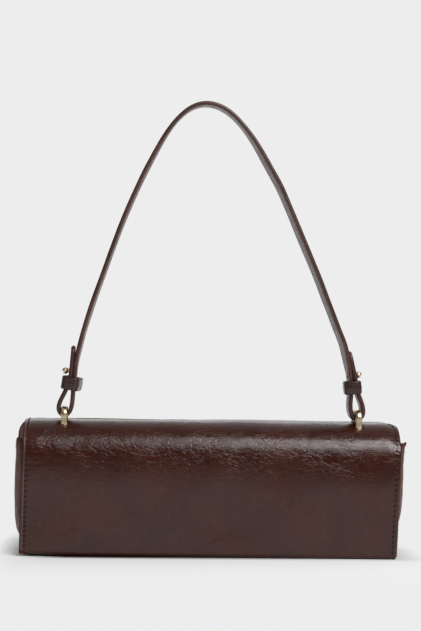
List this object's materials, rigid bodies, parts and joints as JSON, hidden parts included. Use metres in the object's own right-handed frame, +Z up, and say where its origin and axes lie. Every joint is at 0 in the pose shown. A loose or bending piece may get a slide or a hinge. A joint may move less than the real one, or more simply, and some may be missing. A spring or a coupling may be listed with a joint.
{
  "type": "baguette bag",
  "caption": "Long low flap bag in crinkled glossy leather with bulging soft gussets, a rounded flap with a concealed magnetic closure, and a slim shoulder strap looped through metal arches.",
  "frame": {"origin": "middle of the footprint, on the surface the bag stands on", "axes": "+X along the bag to the right as seen from its back, +Y from the back panel towards the flap front, +Z up towards the strap's crest"},
  "size_m": [0.282, 0.064, 0.329],
  "materials": {
    "crinkled_leather": "glossy crinkled oxblood leather with painted edges",
    "strap_leather": "glossy dark oxblood leather, two layers stitched along the edges",
    "lining_fabric": "fine twill lining in warm brown",
    "board": "grey stiffening board, hidden in use",
    "pale_gold": "polished pale gold plating",
    "steel": "plain zinc-plated steel"
  },
  "bodies": {
    "bag": {"body_wrap": "crinkled_leather", "gusset_left": "crinkled_leather", "gusset_right": "crinkled_leather", "body_lining": "lining_fabric", "base_board": "board", "back_stiffener": "board", "front_stiffener": "board", "front_magnet": "steel", "inner_pocket": "lining_fabric"},
    "flap_top": {"flap_top": "crinkled_leather", "flap_top_board": "board", "flap_top_lining": "lining_fabric", "strap_arch_left": "pale_gold", "strap_arch_right": "pale_gold", "anchor_plate_left": "steel", "anchor_plate_right": "steel", "arch_screws": "steel"},
    "flap_front": {"flap_front": "crinkled_leather", "flap_front_board": "board", "flap_front_lining": "lining_fabric", "flap_magnet": "steel"},
    "strap": {"strap": "strap_leather", "strap_loop_left": "strap_leather", "strap_loop_right": "strap_leather", "strap_studs": "pale_gold", "stud_screws": "pale_gold"},
    "keeper_left": {"strap_keeper_left": "strap_leather"},
    "keeper_right": {"strap_keeper_right": "strap_leather"}
  },
  "joints": [
    {"name": "flap_open", "type": "hinge", "parent": "bag", "child": "flap_top", "pos_m": [0, -0.032, 0.08304], "axis": [1, 0, 0], "range_deg": [0, 110]},
    {"name": "flap_front_fold", "type": "hinge", "parent": "flap_top", "child": "flap_front", "pos_m": [0, 0.02907, 0.09302], "axis": [1, 0, 0], "range_deg": [0, 90]},
    {"name": "strap_swing", "type": "hinge", "parent": "flap_top", "child": "strap", "pos_m": [0, -0.00048, 0.101], "axis": [-1, 0, 0], "range_deg": [-75, 65], "deforming": ["strap_loop_left", "strap_loop_right"]},
    {"name": "keeper_slide_left", "type": "slide", "parent": "strap", "child": "keeper_left", "axis": [0, 0, 1], "range_m": [-0.001, 0.0006]},
    {"name": "keeper_slide_right", "type": "slide", "parent": "strap", "child": "keeper_right", "axis": [0, 0, 1], "range_m": [-0.001, 0.0006]}
  ]
}
